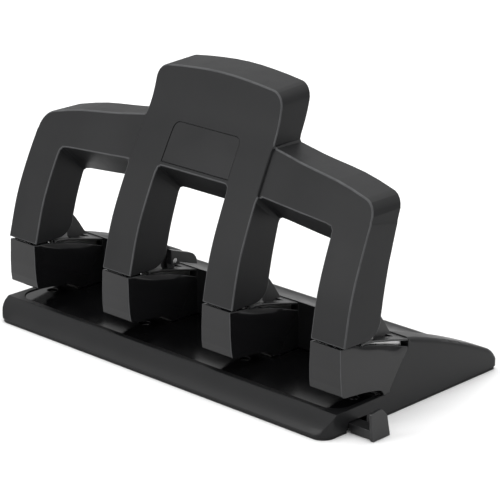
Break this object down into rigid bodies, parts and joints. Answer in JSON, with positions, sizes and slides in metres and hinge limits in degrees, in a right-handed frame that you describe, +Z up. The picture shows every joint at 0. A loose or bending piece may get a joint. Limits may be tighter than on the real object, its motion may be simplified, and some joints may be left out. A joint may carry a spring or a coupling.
{
  "type": "hole punch",
  "caption": "Desktop hole punch: a looped upright handle swings back and drives a row of spring-returned punches, with a paper guide, a lock lever and a chip tray.",
  "frame": {"origin": "middle of the base's plan, on the face it stands on", "axes": "+X along the row of heads, +Y to the rear, +Z up"},
  "size_m": [0.2797, 0.146, 0.165],
  "materials": {
    "base_plastic": "fine moulded grain",
    "underside_plastic": "moulded",
    "foot_rubber": "soft matt",
    "screw_steel": "zinc plated",
    "tray_plastic": "moulded",
    "table_gloss": "polished",
    "die_steel": "ground",
    "cover_gloss": "high gloss",
    "deck_plastic": "satin",
    "frame_steel": "pressed sheet",
    "shaft_steel": "ground",
    "cam_steel": "black lacquer",
    "punch_steel": "hardened and polished",
    "cap_steel": "turned",
    "spring_steel": "drawn wire",
    "lever_plastic": "satin",
    "handle_plastic": "fine moulded grain",
    "handle_inner_plastic": "moulded",
    "label_satin": "smooth satin, blank",
    "guide_plastic": "moulded"
  },
  "bodies": {
    "base": {"base_housing": "base_plastic", "bottom_plate": "underside_plastic", "rubber_feet": "foot_rubber", "base_screws": "screw_steel", "paper_table": "table_gloss", "die_plate": "die_steel", "frame_screws": "screw_steel", "lock_pin": "shaft_steel", "head_cover_1": "cover_gloss", "deck_cap_1": "deck_plastic", "punch_frame_1": "frame_steel", "pivot_shaft_1": "shaft_steel", "punch_spring_1": "spring_steel", "head_cover_2": "cover_gloss", "deck_cap_2": "deck_plastic", "punch_frame_2": "frame_steel", "pivot_shaft_2": "shaft_steel", "punch_spring_2": "spring_steel", "head_cover_3": "cover_gloss", "deck_cap_3": "deck_plastic", "punch_frame_3": "frame_steel", "pivot_shaft_3": "shaft_steel", "punch_spring_3": "spring_steel", "head_cover_4": "cover_gloss", "deck_cap_4": "deck_plastic", "punch_frame_4": "frame_steel", "pivot_shaft_4": "shaft_steel", "punch_spring_4": "spring_steel"},
    "handle": {"handle_shell": "handle_plastic", "handle_rear_cover": "handle_inner_plastic", "label_plate": "label_satin", "cover_screws": "screw_steel", "cam_screws": "screw_steel", "drive_cam_1": "cam_steel", "drive_cam_2": "cam_steel", "drive_cam_3": "cam_steel", "drive_cam_4": "cam_steel"},
    "punch_1": {"punch_pin_1": "punch_steel", "punch_cap_1": "cap_steel"},
    "punch_2": {"punch_pin_2": "punch_steel", "punch_cap_2": "cap_steel"},
    "punch_3": {"punch_pin_3": "punch_steel", "punch_cap_3": "cap_steel"},
    "punch_4": {"punch_pin_4": "punch_steel", "punch_cap_4": "cap_steel"},
    "tray": {"chip_tray": "tray_plastic", "tray_wall": "tray_plastic"},
    "lock": {"lock_lever": "lever_plastic"},
    "guide": {"paper_guide": "guide_plastic"}
  },
  "joints": [
    {"name": "handle_swing", "type": "hinge", "parent": "base", "child": "handle", "pos_m": [0, -0.0382, 0.0595], "axis": [-1, 0, 0], "range_deg": [0, 46], "stiffness_Nm_per_rad": 0.34, "springref_deg": -28.65},
    {"name": "punch_slide_1", "type": "slide", "parent": "base", "child": "punch_1", "axis": [0, 0, -1], "range_m": [0, 0.0105], "deforming": ["punch_spring_1"]},
    {"name": "punch_slide_2", "type": "slide", "parent": "base", "child": "punch_2", "axis": [0, 0, -1], "range_m": [0, 0.0105], "deforming": ["punch_spring_2"]},
    {"name": "punch_slide_3", "type": "slide", "parent": "base", "child": "punch_3", "axis": [0, 0, -1], "range_m": [0, 0.0105], "deforming": ["punch_spring_3"]},
    {"name": "punch_slide_4", "type": "slide", "parent": "base", "child": "punch_4", "axis": [0, 0, -1], "range_m": [0, 0.0105], "deforming": ["punch_spring_4"]},
    {"name": "tray_hinge", "type": "hinge", "parent": "base", "child": "tray", "pos_m": [0, -0.0117, 0.00105], "axis": [1, 0, 0], "range_deg": [0, 75]},
    {"name": "lock_swing", "type": "hinge", "parent": "base", "child": "lock", "pos_m": [-0.0312, -0.0235, 0.0496], "axis": [-1, 0, 0], "range_deg": [0, 6]},
    {"name": "guide_slide", "type": "slide", "parent": "base", "child": "guide", "axis": [1, 0, 0], "range_m": [-0.013, 0.03]}
  ],
  "couplings": [
    {"joint": "punch_slide_1", "follows": "handle_swing", "m_per_rad": 0.01307},
    {"joint": "punch_slide_2", "follows": "handle_swing", "m_per_rad": 0.01307},
    {"joint": "punch_slide_3", "follows": "handle_swing", "m_per_rad": 0.01307},
    {"joint": "punch_slide_4", "follows": "handle_swing", "m_per_rad": 0.01307}
  ]
}
